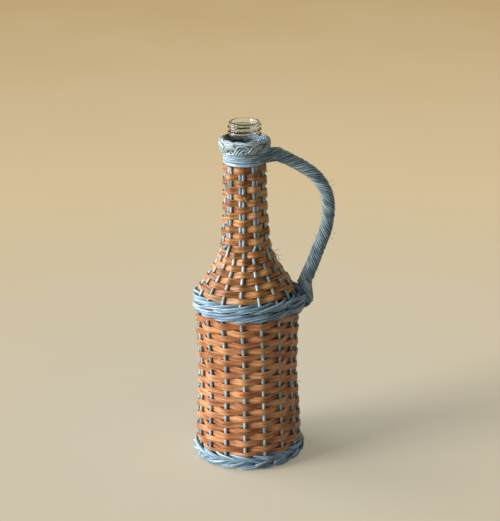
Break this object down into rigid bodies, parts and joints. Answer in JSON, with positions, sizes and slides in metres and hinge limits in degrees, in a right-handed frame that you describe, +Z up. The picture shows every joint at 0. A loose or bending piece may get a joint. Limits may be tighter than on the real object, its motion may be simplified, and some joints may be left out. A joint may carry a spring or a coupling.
{
  "type": "wicker-covered bottle",
  "caption": "Clear glass bottle in a close woven cane cover, with a plaited collar, waled borders and a roped side handle.",
  "frame": {"origin": "on the bottle's axis at the floor, under the crossing of the rods", "axes": "+Z up the bottle's axis to the mouth, +X out to the handle, -Y to the side that faced the camera"},
  "size_m": [0.1184, 0.0925, 0.2843],
  "materials": {
    "glass": "clear, polished",
    "cane": "split cane, fibrous, orange-brown, slight sheen",
    "rod": "thin rods, painted pale blue, satin",
    "strand": "twisted strands, painted blue, satin",
    "handle": "twisted strands, painted dark slate blue, satin"
  },
  "bodies": {
    "root": {"glass_bottle": "glass", "rod_lower_1": "rod", "rod_lower_2": "rod", "rod_lower_3": "rod", "rod_lower_4": "rod", "rod_upper_1": "rod", "rod_upper_2": "rod", "rod_upper_3": "rod", "rod_upper_4": "rod", "rod_odd": "rod", "base_cane": "cane", "foot_wale_lower_1": "strand", "foot_wale_lower_2": "strand", "foot_wale_lower_3": "strand", "foot_wale_upper_1": "strand", "foot_wale_upper_2": "strand", "foot_wale_upper_3": "strand", "shoulder_wale_lower_1": "strand", "shoulder_wale_lower_2": "strand", "shoulder_wale_lower_3": "strand", "shoulder_wale_upper_1": "strand", "shoulder_wale_upper_2": "strand", "shoulder_wale_upper_3": "strand", "body_cane_1": "cane", "body_cane_2": "cane", "body_cane_3": "cane", "body_cane_4": "cane", "body_cane_5": "cane", "shoulder_cane": "cane", "neck_cane_1": "cane", "neck_cane_2": "cane", "neck_band": "strand", "collar_strand_1": "strand", "collar_strand_2": "strand", "collar_strand_3": "strand", "handle_core": "handle", "handle_strand_1": "handle", "handle_strand_2": "handle", "handle_strand_3": "handle", "handle_strand_4": "handle", "handle_strand_5": "handle"}
  },
  "joints": []
}
